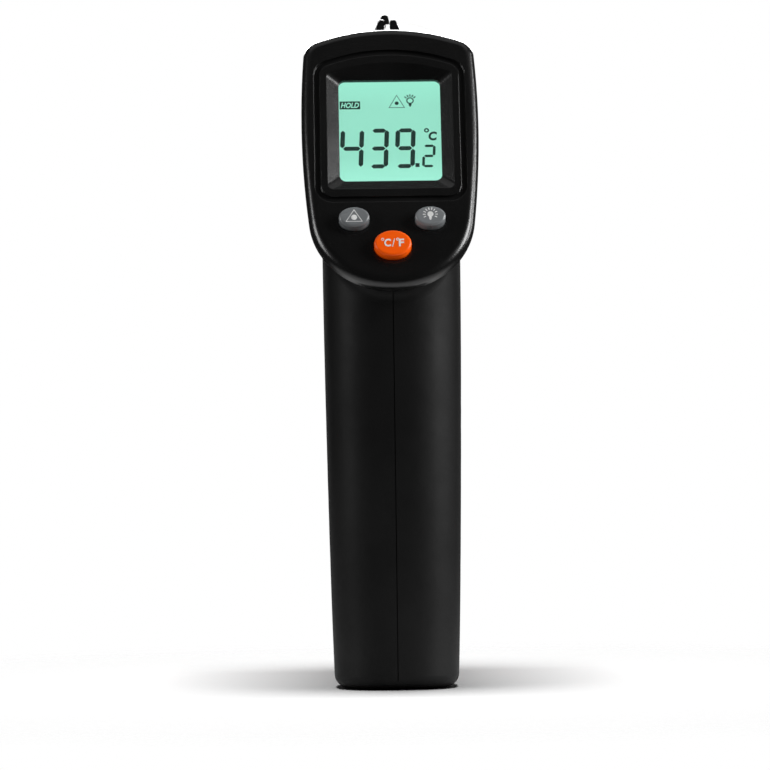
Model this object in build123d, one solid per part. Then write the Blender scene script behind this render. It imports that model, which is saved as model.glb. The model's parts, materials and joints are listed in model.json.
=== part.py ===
"""Pistol-grip infrared thermometer, modelled as the separate pieces it is assembled from.

Frame: millimetres, +Z up. The thermometer stands on the flat foot of its grip. The origin is the
centre of that foot, +Y is the way the lens looks and the display faces the user at -Y.
Each function below makes one piece, and main() writes one STEP file per piece.
"""

import math
import os

from build123d import *

# ---------------------------------------------------------------- driving dimensions, mm and degrees
WALL = 2.0                 # housing wall
SEAM_GAP = 0.2             # open line between the two housing halves
SEAM_DEPTH = 0.8           # how deep that line runs into the wall
SLIP = 0.15                # clearance of a fixed piece that drops into its seat
RUN = 0.3                  # clearance round a piece that moves
PIN_RUN = 0.05             # radial clearance of a pin in its bore

# grip
GRIP_HEIGHT = 92.0         # foot to the underside of the display head
FOOT_EDGE_R = 3.0          # rounding round the foot
NECK_R = 3.0               # rounding where the grip meets the head
GRIP_CURVE = 2.7           # 2 is an ellipse, larger is squarer
GRIP_TABLE = [             # share of the grip height, half width, back face y, front face y
    (0.00, 14.3, -17.0, 17.4),
    (0.27, 15.0, -17.4, 17.7),
    (0.54, 15.45, -17.5, 18.2),
    (0.82, 15.8, -16.8, 18.9),
    (1.03, 15.95, -15.5, 20.2),
    (1.28, 15.9, -9.0, 25.0),
]

# display panel: the face leans forward from vertical
PANEL_TILT = 27.0
PANEL_Y = -5.85            # the frame that its heights are measured from
PANEL_RISE = 36.75         # that frame above the grip
PANEL_WIDTH = 40.9
PANEL_UP = 27.35           # frame of the panel to the crown of the arch
PANEL_DOWN = 40.6          # frame of the panel to the chin
PANEL_WAIST = 3.0          # frame of the panel up to its widest point
PANEL_SIDE_R = 239.0
PANEL_TOP_R = 46.0
PANEL_CORNER_R = 4.5
BEZEL_THICK = 3.6
BEZEL_FACE = 2.0           # thickness of the bezel's front wall
BEZEL_EDGE_R = 2.2
LIP_THICK = 1.2            # the lips that plug bezel and nose ring into the housing
LIP_LENGTH = 2.0
LIP_GAP = 0.4              # clearance round those lips
LIP_CHIN = -19.0           # the bezel's lip stops here, above the chin

# barrel
BARREL_TILT = 7.0          # nose-up angle of the barrel and of the roof line
NOSE_Y = 70.0
NOSE_RISE = 45.1
NOSE_WIDTH = 34.0
NOSE_DOWN = 17.6
NOSE_SHAPE = (110.0, 30.0, 9.5)     # side r, top r, corner r
NOSE_DROOP = 0.7           # the nose's crown lies this far below the roof line
NOSE_LENGTH = 6.0
NOSE_EDGE_R = 2.4
# stations between bezel and nose: y, height above grip, tilt, width, down, side r, top r, corner r
BARREL_TABLE = [
    (14.0, 36.8, 12.0, 39.4, 25.4, 200.0, 44.0, 6.0),
    (38.0, 40.5, 0.0, 37.2, 17.0, 150.0, 38.0, 8.0),
    (60.0, 44.0, -BARREL_TILT, 35.0, 18.0, 120.0, 32.0, 9.0),
]

# display window
WINDOW_W = 23.5
WINDOW_H = 26.7
WINDOW_U = 0.45            # centre of the window above the panel's frame
WINDOW_CORNER_R = 1.5
WINDOW_DEPTH = 1.6         # face to the foot of the sloping frame
BEVEL = 2.85               # width of that sloping frame
ARCH_R = 40.0              # arch over the frame and the groove
ARCH_RISE = 1.0            # extra height of the frame under its arch
GROOVE_OFFSET = 2.2        # frame to the middle of the groove
GROOVE_RISE = 1.1          # the groove stands this much further off under the arch
GROOVE_HALF = 0.7
GROOVE_DEPTH = 0.6
PANE_DEPTH = 2.4
PANE_THICK = 1.2
PANE_LAND = 1.5            # overlap of the pane behind the bezel

# display stack behind the pane, as depths below the panel face
LCD_DEPTH = 3.9
LCD_THICK = 1.6
LCD_MARGIN = 1.7           # glass beyond the window on every side
LEDGE = 3.0                # glass that overhangs the backlight at the bottom
LIGHT_THICK = 1.8
HOLDER_WALL = 1.2
BOARD_DEPTH = 8.0
BOARD_THICK = 1.2
BOARD_INSET = 4.5          # board edges inside the bezel's outline
BOARD_SPAN = (-21.0, 21.6)
KEY_BOARD_DEPTH = 5.6
KEY_BOARD_THICK = 1.0
KEY_BOARD_SPAN = (-32.7, -17.6)
POSTS = [(13.6, 19.4), (14.0, -18.0)]        # x and height of the bezel's screw posts, both sides
POST_R = 1.8
BOARD_SCREW_R = 0.8

# oval buttons: name, x, height on the panel, width, height
BUTTONS = [
    ("laser_button", -8.7, -24.1, 7.0, 5.1),
    ("backlight_button", 8.7, -24.1, 7.0, 5.1),
    ("units_button", 0.0, -31.0, 8.5, 6.6),
]
BUTTON_PROUD = 2.2
BUTTON_EDGE_R = 0.6
BUTTON_RUN = 0.25
FLANGE = 0.7
FLANGE_THICK = 0.8
DOME_R = 2.1
MAT_THICK = 0.7

# optics, measured from the nose plane
SENSOR_DROP = 3.0          # lens axis below the nose's widest point
LASER_RISE = 12.2          # laser axis above it
CONE_R = 11.5
CONE_BACK_R = 6.4
LENS_R = 6.7
LENS_THICK = 1.0
LENS_BOW_R = 26.0
RING_LENGTH = 2.0          # retaining ring in front of the lens
TUBE_R = 7.7
TUBE_BORE_R = 6.0
TUBE_START = 0.4
TUBE_LENGTH = 23.0
CAN_R = 4.1
CAN_LENGTH = 3.4
LASER_R = 3.0
LASER_START = 1.8
LASER_LENGTH = 12.0
APERTURE_R = 1.9
LASER_PANE_R = 2.6
RIBS = (9.0, 19.0)
RIB_THICK = 1.5

# trigger
TRIGGER_HALF = 6.2
PIVOT_Y = 30.5
PIVOT_RISE = 19.0          # pivot height above the grip
PIVOT_R = 1.0
HUB_R = 2.6
SPRING_RISE = -1.0         # spring axis height above the grip
SPRING_R = 2.2
SPRING_WIRE_R = 0.25
CHEEK = 1.9                # wall on each side of the trigger
BULKHEAD_Y = 3.0
BULKHEAD_THICK = 2.0

# battery bay and door
CELL_R = 5.25
CELL_LENGTH = 44.5
NUB_R = 1.8
NUB_HEIGHT = 0.9
CELL_GAP = 0.7
BAY_FLOOR = 17.0
BAY_WALL = 1.6
BAY_BACK = 1.3             # y of the bay's back wall
CONTACT_THICK = 0.5
SPRING_ROOM = 4.0          # compressed contact spring
DOOR_WALL = 1.8
DOOR_SPLIT = 5.0           # y where the door's side walls meet the housing
DOOR_ABOVE_BAY = 4.4
DOOR_GAP = 0.25
HINGE_Z = 9.0
HINGE_SET = 2.6            # hinge axis behind the front face
HINGE_PIN_R = 0.8
HINGE_HALF = 5.5
EAR_THICK = 2.8

# screws that close the housing: y, height above the foot; and y, height above the grip
FOOT_SCREWS = [(4.0, 11.6)]
HEAD_SCREWS = [(4.0, -16.0), (20.0, 54.8), (44.0, 57.5)]
BOSS_R = 3.2
SCREW_R = 1.1
SCREW_HEAD_R = 1.9
SCREW_HEAD_H = 1.5
SCREW_LENGTH = 9.0
SCREW_SEAT = 5.0           # where the screw head seats, right of the seam

# sights: half width, half width on top, height, y, length, rounding of the top, half notch
REAR_SIGHT = (3.1, 1.95, 3.0, 16.0, 8.0, 0.55, 0.65)
FRONT_SIGHT = (1.2, 0.75, 2.1, 54.0, 6.0, 0.65, 0.0)

WIRE_R = 0.6

# ---------------------------------------------------------------- derived places
PANEL_Z = GRIP_HEIGHT + PANEL_RISE
NOSE_Z = GRIP_HEIGHT + NOSE_RISE
PIVOT_Z = GRIP_HEIGHT + PIVOT_RISE
SPRING_Z = GRIP_HEIGHT + SPRING_RISE
BAY_TOP = BAY_FLOOR + CELL_LENGTH + SPRING_ROOM + 2 * CONTACT_THICK
DOOR_TOP = BAY_TOP + BAY_WALL + DOOR_ABOVE_BAY
CELL_X = CELL_R + CELL_GAP / 2
CELL_Y = BAY_BACK + CELL_R + 0.25
ROOF_SLOPE = math.tan(math.radians(BARREL_TILT))
STEM_END = BEZEL_FACE + SLIP + FLANGE_THICK + 0.2
MAT_DEPTH = KEY_BOARD_DEPTH - 0.1 - MAT_THICK
SCREW_PLACES = FOOT_SCREWS + [(y, GRIP_HEIGHT + rise) for y, rise in HEAD_SCREWS]
BIG = 400.0
ALL = (-BIG, BIG)


# ---------------------------------------------------------------- frames
def facing_back(y, z, tilt):
    """Plane at (0, y, z) that faces the user at -Y and looks up by tilt degrees; its y runs up."""
    t = math.radians(tilt)
    return Plane(origin=(0, y, z), x_dir=(1, 0, 0), z_dir=(0, -math.cos(t), math.sin(t)))


def panel(depth=0.0):
    """The display panel's plane, depth mm below its face."""
    return facing_back(PANEL_Y, PANEL_Z, PANEL_TILT).offset(-depth)


def nose(forward=0.0):
    """The plane of the housing's front end, forward mm along the barrel; it looks forward."""
    t = math.radians(BARREL_TILT)
    plane = Plane(origin=(0, NOSE_Y, NOSE_Z), x_dir=(-1, 0, 0), z_dir=(0, math.cos(t), math.sin(t)))
    return plane.offset(forward)


def side_plane(x=0.0):
    """The YZ plane at x, seen from +X."""
    return Plane(origin=(x, 0, 0), x_dir=(0, 1, 0), z_dir=(1, 0, 0))


def block(x, y, z):
    """A box from its lowest and highest coordinates."""
    size = (x[1] - x[0], y[1] - y[0], z[1] - z[0])
    return Pos((x[0] + x[1]) / 2, (y[0] + y[1]) / 2, (z[0] + z[1]) / 2) * Box(*size)


def rod_x(y, z, radius, x0, x1):
    """A cylinder along X."""
    return side_plane(x0) * Pos(y, z) * extrude(Circle(radius), x1 - x0)


def slab(outline, front, back):
    """An outline on the panel, extruded between two depths, still in the panel's own frame."""
    return Pos(0, 0, -back) * extrude(outline, back - front)


def on_panel(shape):
    """Moves a shape drawn in the panel's own frame to its place."""
    return panel() * shape


def on_nose(shape):
    """Moves a shape drawn in the nose's own frame (z forward) to its place."""
    return nose() * shape


def nose_point(x, up, forward):
    """A point on the nose's frame, in the thermometer's frame."""
    return nose(forward).from_local_coords((-x, up, 0))


def panel_point(x, u, depth):
    """A point on the panel's frame, in the thermometer's frame."""
    return panel(depth).from_local_coords((x, u, 0))


# ---------------------------------------------------------------- outlines
def reach(centre, towards, radius):
    """The point of a circle that lies towards another point."""
    dx, dy = towards[0] - centre[0], towards[1] - centre[1]
    share = radius / math.hypot(dx, dy)
    return centre[0] + dx * share, centre[1] + dy * share


def crossing(ca, ra, cb, rb):
    """The crossing of two circles that lies furthest to the right."""
    dx, dy = cb[0] - ca[0], cb[1] - ca[1]
    d = math.hypot(dx, dy)
    a = (ra * ra - rb * rb + d * d) / (2 * d)
    h = math.sqrt(ra * ra - a * a)
    mx, my = ca[0] + a * dx / d, ca[1] + a * dy / d
    return max((mx + h * dy / d, my - h * dx / d), (mx - h * dy / d, my + h * dx / d))


def shield(width, up, down, side_r, top_r, corner_r, inset=0.0):
    """A head section: arched crown, bowed sides and a round chin, all arcs tangent to each other."""
    half = width / 2 - inset
    up, down, side_r, top_r = up - inset, down - inset, side_r - inset, top_r - inset
    corner_r = max(corner_r - inset, 0.5)
    chin_r = (side_r**2 - (side_r - half) ** 2 - down**2) / (2 * (side_r - down))
    side_c, chin_c, top_c = (half - side_r, 0), (0, chin_r - down), (0, up - top_r)
    corner_c = crossing(side_c, side_r - corner_r, top_c, top_r - corner_r)
    low = reach(side_c, chin_c, side_r)
    high = reach(side_c, corner_c, side_r)
    crown = reach(top_c, corner_c, top_r)
    side_mid = reach(side_c, ((low[0] + high[0]) / 2, (low[1] + high[1]) / 2), side_r)
    corner_mid = reach(corner_c, ((crown[0] + high[0]) / 2, (crown[1] + high[1]) / 2), corner_r)

    def left(p):
        return -p[0], p[1]

    return make_face([
        ThreePointArc(left(crown), (0, up), crown),
        ThreePointArc(crown, corner_mid, high),
        ThreePointArc(high, side_mid, low),
        ThreePointArc(low, (0, -down), left(low)),
        ThreePointArc(left(low), left(side_mid), left(high)),
        ThreePointArc(left(high), left(corner_mid), left(crown)),
    ])


def panel_shield(inset=0.0):
    """The display panel's outline."""
    up, down = PANEL_UP - PANEL_WAIST, PANEL_DOWN + PANEL_WAIST
    sizes = (PANEL_WIDTH, up, down, PANEL_SIDE_R, PANEL_TOP_R, PANEL_CORNER_R)
    return Pos(0, PANEL_WAIST) * shield(*sizes, inset)


def roof_up(y, z, tilt):
    """Distance from a station's widest point up to the roof line, in the station's plane."""
    t = math.radians(tilt)
    start = panel_point(0, PANEL_UP, BEZEL_THICK)
    rise = start.Z + (y - start.Y) * ROOF_SLOPE - z
    return rise / (math.cos(t) - math.sin(t) * ROOF_SLOPE)


def nose_shield(inset=0.0):
    """The housing's front end outline."""
    up = roof_up(NOSE_Y, NOSE_Z, -BARREL_TILT) - NOSE_DROOP
    return shield(NOSE_WIDTH, up, NOSE_DOWN, *NOSE_SHAPE, inset)


def arched(half, top, bottom, arch_r, corner_r):
    """A rounded rectangle whose upper side is an arch."""
    arch_u = top - arch_r
    inner = half - corner_r
    bend = (inner, arch_u + math.sqrt((arch_r - corner_r) ** 2 - inner**2))
    crown = reach((0, arch_u), bend, arch_r)
    turn = reach(bend, ((crown[0] + half) / 2, (crown[1] + bend[1]) / 2), corner_r)
    low = bottom + corner_r
    slant = math.sqrt(0.5) * corner_r

    def left(p):
        return -p[0], p[1]

    return make_face([
        ThreePointArc(left(crown), (0, top), crown),
        ThreePointArc(crown, turn, (half, bend[1])),
        Line((half, bend[1]), (half, low)),
        ThreePointArc((half, low), (inner + slant, low - slant), (inner, bottom)),
        Line((inner, bottom), (-inner, bottom)),
        ThreePointArc((-inner, bottom), (-inner - slant, low - slant), (-half, low)),
        Line((-half, low), (-half, bend[1])),
        ThreePointArc((-half, bend[1]), left(turn), left(crown)),
    ])


def frame_outline(offset, rise):
    """The outline of the sloping frame round the window, grown by offset and arched by rise."""
    half = WINDOW_W / 2 + BEVEL + offset
    top = WINDOW_U + WINDOW_H / 2 + BEVEL + offset + rise
    bottom = WINDOW_U - WINDOW_H / 2 - BEVEL - offset
    return arched(half, top, bottom, ARCH_R, 1.4 + offset)


def window_outline(margin, corner_r):
    """A rounded rectangle round the window."""
    return Pos(0, WINDOW_U) * RectangleRounded(WINDOW_W + 2 * margin, WINDOW_H + 2 * margin, corner_r)


def grip_section(half, back, front, inset):
    """A grip section: a squarish ellipse between the back and front faces."""
    a, b = half - inset, (front - back) / 2 - inset
    points = []
    count = 24
    for i in range(count):
        turn = 2 * math.pi * i / count
        c, s = math.cos(turn), math.sin(turn)
        x = a * math.copysign(abs(c) ** (2 / GRIP_CURVE), c)
        y = b * math.copysign(abs(s) ** (2 / GRIP_CURVE), s)
        points.append((x, y))
    return Pos(0, (front + back) / 2) * make_face([Spline(*points, periodic=True)])


# ---------------------------------------------------------------- the housing's solid shape
def head_body(inset=0.0):
    """The display head and barrel as one solid, each section inset."""
    sections = [panel(BEZEL_THICK) * panel_shield(inset)]
    for y, rise, tilt, width, down, side_r, top_r, corner_r in BARREL_TABLE:
        z = GRIP_HEIGHT + rise
        outline = shield(width, roof_up(y, z, tilt), down, side_r, top_r, corner_r, inset)
        sections.append(facing_back(y, z, tilt) * outline)
    sections.append(facing_back(NOSE_Y, NOSE_Z, -BARREL_TILT) * nose_shield(inset))
    return loft(sections)


def grip_body(inset=0.0):
    """The grip as one solid that runs up into the head."""
    sections = []
    for share, half, back, front in GRIP_TABLE:
        sections.append(Pos(0, 0, share * GRIP_HEIGHT) * grip_section(half, back, front, inset))
    return loft(sections)


def behind_panel():
    """Everything on the user's side of the housing's rear opening."""
    return panel(BEZEL_THICK) * Pos(0, 0, BIG / 4) * Box(BIG, BIG, BIG / 2)


def rounded_outside():
    """The housing's outer shape with its neck and foot rounded."""
    body = head_body() + grip_body() - behind_panel()
    rings = [e for e in body.edges() if e.is_closed and e.center().Z < PANEL_Z]
    neck = max(rings, key=lambda e: e.center().Z)
    body = fillet(neck, NECK_R)
    foot = [e for e in body.edges() if abs(e.center().Z) < 0.01]
    return fillet(foot, FOOT_EDGE_R)


def plain_inside(inset):
    """The housing's shape drawn in by inset, open at the rear opening and the nose."""
    floor = block((-BIG, BIG), (-BIG, BIG), (-BIG, inset))
    return head_body(inset) + grip_body(inset) - behind_panel() - floor


def trigger_cheeks():
    """Solid web under the barrel that flanks the trigger, before its slot is cut."""
    z = GRIP_HEIGHT
    curve = ThreePointArc((17.5, z - 14.0), (23.6, z + 5.0), (43.0, z + 25.0))
    back = Polyline(
        (43.0, z + 25.0), (38.0, z + 28.0), (12.0, z + 14.0), (12.0, z - 14.0), (17.5, z - 14.0),
    )
    half = TRIGGER_HALF + RUN + CHEEK
    web = side_plane(-half) * extrude(make_face([curve, back]), 2 * half)
    rim = web.edges().filter_by(GeomType.CIRCLE)
    return fillet(rim, 1.4)


def trigger_slot():
    """The opening that the trigger swings in."""
    half = TRIGGER_HALF + RUN
    z = GRIP_HEIGHT
    slot = block((-half, half), (BULKHEAD_Y + BULKHEAD_THICK, 60.0), (z - 10.0, z + 13.0))
    slot += block((-half, half), (PIVOT_Y - 9.0, 46.0), (z + 10.0, PIVOT_Z + 1.2))
    return slot + rod_x(PIVOT_Y, PIVOT_Z, HUB_R + RUN, -half, half)


def sight(half, half_top, height, y, length, top_r, notch):
    """A sight blade on the roof line, tapered upwards, notched or not, and ramped at its front."""
    start = panel_point(0, PANEL_UP, BEZEL_THICK)
    t = math.radians(BARREL_TILT)
    base = start.Z + (y - start.Y) * ROOF_SLOPE
    sunk = -1.4
    across = make_face(Polyline(
        (-half, sunk), (half, sunk), (half, 0), (half_top, height), (-half_top, height), (-half, 0),
        (-half, sunk),
    ))
    if notch > 0:
        across -= Pos(0, height) * Rectangle(2 * notch, 2 * height)
    across = fillet(across.vertices().group_by(Axis.Y)[-1], top_r)
    along = Polyline(
        (0, sunk), (length, sunk), (length, 0), (0.45 * length, height), (0.3, height), (0, 0), (0, sunk),
    )
    plane = Plane(origin=(0, y, base), x_dir=(-1, 0, 0), z_dir=(0, math.cos(t), math.sin(t)))
    side = Plane(origin=(-20, y, base), x_dir=(0, math.cos(t), math.sin(t)), z_dir=(1, 0, 0))
    return plane * extrude(across, length) & side * extrude(make_face(along), 40)


def bay_walls():
    """The walls of the battery bay that the halves carry between them."""
    low, high = BAY_FLOOR - BAY_WALL, BAY_TOP + BAY_WALL
    bay = block(ALL, (BAY_BACK - BAY_WALL, BIG), (low, high))
    side = 2 * CELL_R + CELL_GAP / 2 + RUN
    bay -= block((-side, side), (BAY_BACK, BIG), (BAY_FLOOR, BAY_TOP))
    for x in (-CELL_X, CELL_X):
        bay -= block((x - 1.8, x + 1.8), (-BIG, BIG), (BAY_TOP - CONTACT_THICK - SLIP, BAY_TOP))
    return bay


def barrel_ribs():
    """Ribs across the barrel that hold the sensor tube and the laser."""
    ribs = Part()
    for back in RIBS:
        ribs += nose(-back) * extrude(Rectangle(BIG, BIG), RIB_THICK)
    bores = Pos(0, -SENSOR_DROP) * Circle(TUBE_R + SLIP) + Pos(0, LASER_RISE) * Circle(LASER_R + SLIP)
    return ribs - nose(-LASER_LENGTH - 20) * extrude(bores, LASER_LENGTH + 20)


def bulkhead():
    """The wall behind the trigger, with a peg for the trigger's spring."""
    wall = block(ALL, (BULKHEAD_Y, BULKHEAD_Y + BULKHEAD_THICK), (GRIP_HEIGHT - 7.0, GRIP_HEIGHT + 17.0))
    peg = Plane(origin=(0, BULKHEAD_Y, SPRING_Z), z_dir=(0, 1, 0))
    return wall + peg * extrude(Circle(SPRING_R - SPRING_WIRE_R - 0.35), BULKHEAD_THICK + 3.0)


def grip_front(z):
    """The y of the grip's front face at a height."""
    share = z / GRIP_HEIGHT
    for low, high in zip(GRIP_TABLE, GRIP_TABLE[1:]):
        if low[0] <= share <= high[0]:
            part = (share - low[0]) / (high[0] - low[0])
            return low[3] + part * (high[3] - low[3])
    return GRIP_TABLE[-1][3]


HINGE_Y = grip_front(HINGE_Z) - HINGE_SET


def door_region(gap):
    """Where the door's skin lies, drawn in by gap: its top edge is an arc about the hinge."""
    low = HINGE_Z + HINGE_SET
    skin = block(ALL, (DOOR_SPLIT + gap, BIG), (low + gap, BIG))
    skin &= rod_x(HINGE_Y, HINGE_Z, DOOR_TOP - HINGE_Z - gap, -BIG / 2, BIG / 2)
    half = HINGE_HALF + RUN - gap
    return skin + block((-half, half), (HINGE_Y, BIG), (HINGE_Z, low + 1))


def door_opening():
    """What the halves leave free for the door and its hinge barrel."""
    half = HINGE_HALF + RUN
    barrel = HINGE_SET + RUN
    heights = (HINGE_Z - barrel, HINGE_Z + barrel)
    return door_region(0) + block((-half, half), (HINGE_Y - barrel, BIG), heights)


def hinge_ears():
    """The housing's ears on both sides of the door's hinge barrel."""
    inner, outer = HINGE_HALF + RUN, HINGE_HALF + RUN + EAR_THICK
    ears = Part()
    for x0, x1 in ((-outer, -inner), (inner, outer)):
        ears += rod_x(HINGE_Y, HINGE_Z, HINGE_SET, x0, x1)
        ears += block((x0, x1), (HINGE_Y - HINGE_SET, HINGE_Y + HINGE_SET), (0, HINGE_Z))
    return ears


def housing():
    """The left half of the housing before its screw holes; the right half is its mirror image."""
    left = block((-BIG, 0), ALL, ALL)
    body = left & (rounded_outside() + trigger_cheeks() + sight(*REAR_SIGHT) + sight(*FRONT_SIGHT))
    bosses = Part()
    for y, z in SCREW_PLACES:
        bosses += rod_x(y, z, BOSS_R, -BIG / 10, BIG / 10)
    hollow = (left & plain_inside(WALL)) - bosses - barrel_ribs() - bulkhead() - bay_walls() - hinge_ears()
    body -= hollow
    body -= (left & door_opening()) - plain_inside(WALL + 0.4) - hinge_ears()
    pivot_half, pin_half = TRIGGER_HALF + RUN + 1.5, HINGE_HALF + RUN + 2.0
    body -= trigger_slot() - bulkhead()
    body -= rod_x(PIVOT_Y, PIVOT_Z, PIVOT_R, -pivot_half, 0)
    body -= rod_x(HINGE_Y, HINGE_Z, HINGE_PIN_R, -pin_half, 0)
    core = section(plain_inside(SEAM_DEPTH), section_by=Plane.YZ)
    line = block((-SEAM_GAP / 2, 0), (-40, 90), (FOOT_EDGE_R - 1, BIG))
    post_y, post_length = FRONT_SIGHT[3:5]
    line -= block((-1, 1), (post_y, post_y + post_length), (PANEL_Z, BIG))
    return body - (line - extrude(core, SEAM_GAP, both=True))


def housing_half(half, side):
    """A housing half with its screw holes: side is -1 for left and +1 for right."""
    if side > 0:
        half = mirror(half, Plane.YZ)
    for y, z in SCREW_PLACES:
        if side > 0:
            half -= rod_x(y, z, SCREW_R + 0.2, -1, SCREW_SEAT + 1)
            half -= rod_x(y, z, SCREW_HEAD_R + 0.3, SCREW_SEAT, BIG / 10)
        else:
            half -= rod_x(y, z, SCREW_R, SCREW_SEAT - SCREW_LENGTH - 0.5, 1)
    return max(half.solids(), key=lambda s: s.volume)


# ---------------------------------------------------------------- display panel pieces
def display_bezel():
    """The front frame: window, sloping surround, groove, button holes, lip and screw posts."""
    plate = extrude(panel_shield(), -BEZEL_THICK)
    plate = fillet(plate.faces().sort_by(Axis.Z)[-1].edges(), BEZEL_EDGE_R)
    lip = slab(panel_shield(WALL + LIP_GAP), BEZEL_FACE, BEZEL_THICK + LIP_LENGTH)
    lip &= Pos(0, LIP_CHIN + BIG / 2) * Box(BIG, BIG, BIG)
    body = plate + lip
    body -= slab(panel_shield(WALL + LIP_GAP + LIP_THICK), BEZEL_FACE, BIG / 10)
    body += slab(window_outline(PANE_LAND + SLIP + 1.2, 2.0), BEZEL_FACE - 0.5, PANE_DEPTH + PANE_THICK)
    body -= slab(window_outline(PANE_LAND + SLIP, 1.2), PANE_DEPTH, BIG / 10)
    body -= slab(window_outline(0, WINDOW_CORNER_R), 0, BIG / 10)
    foot = Pos(0, 0, -WINDOW_DEPTH) * window_outline(0, WINDOW_CORNER_R)
    slope = loft([frame_outline(0, ARCH_RISE), foot])
    body -= slope
    low = Pos(0, -0.5) * frame_outline(GROOVE_OFFSET + GROOVE_HALF, ARCH_RISE + GROOVE_RISE)
    high = Pos(0, -0.5) * frame_outline(GROOVE_OFFSET - GROOVE_HALF, ARCH_RISE + GROOVE_RISE)
    body -= slab(low - high, 0, GROOVE_DEPTH)
    for _, x, u, w, h in BUTTONS:
        body -= slab(Pos(x, u) * oval(w, h, BUTTON_RUN), -1, BEZEL_FACE + 1)
    for x, u in POSTS:
        for side in (-1, 1):
            post = slab(Circle(POST_R), BEZEL_FACE - 0.5, BOARD_DEPTH)
            post -= slab(Circle(BOARD_SCREW_R), BEZEL_FACE + 1, BOARD_DEPTH)
            body += Pos(side * x, u) * post
    return on_panel(body)


def display_window():
    return on_panel(slab(window_outline(PANE_LAND, 1.0), PANE_DEPTH, PANE_DEPTH + PANE_THICK))


def lcd_glass():
    """Two bonded sheets; the rear one overhangs the backlight as a contact ledge."""
    size = (WINDOW_W + 2 * LCD_MARGIN, WINDOW_H + 2 * LCD_MARGIN)
    rear = slab(Pos(0, WINDOW_U) * Rectangle(*size), LCD_DEPTH + LCD_THICK / 2, LCD_DEPTH + LCD_THICK)
    front = slab(Pos(0, WINDOW_U) * Rectangle(size[0], size[1] - 1.6), LCD_DEPTH, LCD_DEPTH + LCD_THICK / 2)
    return on_panel(rear + front)


def lcd_backlight():
    width, height = WINDOW_W + 2 * LCD_MARGIN, WINDOW_H + 2 * LCD_MARGIN - LEDGE
    top = LCD_DEPTH + LCD_THICK
    return on_panel(slab(Pos(0, WINDOW_U + LEDGE / 2) * Rectangle(width, height), top, top + LIGHT_THICK))


def lcd_contact():
    """The rubber contact strip between the glass ledge and the board."""
    u = WINDOW_U - WINDOW_H / 2 - LCD_MARGIN + LEDGE / 2
    strip = slab(Pos(0, u) * Rectangle(WINDOW_W - 2, LEDGE - 1.0), LCD_DEPTH + LCD_THICK, BOARD_DEPTH)
    return on_panel(strip)


def lcd_holder():
    """The frame that keeps glass, backlight and contact strip in line on the board."""
    inner = WINDOW_W + 2 * LCD_MARGIN + 2 * SLIP
    tall = WINDOW_H + 2 * LCD_MARGIN + 2 * SLIP
    ring = Rectangle(inner + 2 * HOLDER_WALL, tall + 2 * HOLDER_WALL) - Rectangle(inner, tall)
    return on_panel(slab(Pos(0, WINDOW_U) * ring, LCD_DEPTH - 0.2, BOARD_DEPTH))


def oval(width, height, margin=0.0):
    """A button's outline, grown by margin."""
    return Ellipse(width / 2 + margin, height / 2 + margin)


def board_outline(span):
    """The part of the bezel's inside outline between two heights."""
    height = span[1] - span[0]
    return panel_shield(BOARD_INSET) & Pos(0, (span[0] + span[1]) / 2) * Rectangle(BIG, height)


def main_board():
    board = slab(board_outline(BOARD_SPAN), BOARD_DEPTH, BOARD_DEPTH + BOARD_THICK)
    for x, u in POSTS:
        for side in (-1, 1):
            hole = Pos(side * x, u) * Circle(BOARD_SCREW_R + 0.2)
            board -= slab(hole, BOARD_DEPTH, BOARD_DEPTH + BOARD_THICK)
    return on_panel(board)


def board_components():
    """Chips, capacitors and the sounder on the forward side of the main board."""
    back = BOARD_DEPTH + BOARD_THICK
    parts = [slab(Pos(-2.0, 3.0) * RectangleRounded(9, 9, 0.4), back, back + 1.4)]
    parts += [slab(Pos(8.5, 8.0) * RectangleRounded(5, 4, 0.3), back, back + 1.2)]
    parts += [slab(Pos(-9.5, -8.5) * Circle(4.4), back, back + 2.6)]
    for x, u in ((6.5, 1.0), (10.5, 1.0), (8.5, -3.0)):
        parts += [slab(Pos(x, u) * Circle(1.5), back, back + 2.4)]
    for i in range(5):
        parts += [slab(Pos(2.0 + 2.4 * i, -9.0) * Rectangle(1.2, 2.0), back, back + 0.6)]
    return on_panel(Compound(children=parts))


def board_screws():
    screws = []
    back = BOARD_DEPTH + BOARD_THICK
    for x, u in POSTS:
        for side in (-1, 1):
            one = slab(Circle(1.6), back, back + 1.1) + slab(Circle(BOARD_SCREW_R), back - 5.0, back)
            one -= slab(Rectangle(2.0, 0.4) + Rectangle(0.4, 2.0), back + 0.6, back + 1.1)
            screws.append(Pos(side * x, u) * one)
    return on_panel(Compound(children=screws))


def board_header():
    """The pin strip that joins the key board to the main board."""
    u = (KEY_BOARD_SPAN[1] + BOARD_SPAN[0]) / 2
    return on_panel(slab(Pos(0, u) * Rectangle(15, 2.2), KEY_BOARD_DEPTH + KEY_BOARD_THICK, BOARD_DEPTH))


def key_outline(span):
    """A board outline that stands clear of the bezel's lower posts."""
    x, u = POSTS[-1]
    posts = Pos(-x, u) * Circle(POST_R + RUN) + Pos(x, u) * Circle(POST_R + RUN)
    return board_outline(span) - posts


def key_board():
    return on_panel(slab(key_outline(KEY_BOARD_SPAN), KEY_BOARD_DEPTH, KEY_BOARD_DEPTH + KEY_BOARD_THICK))


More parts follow.
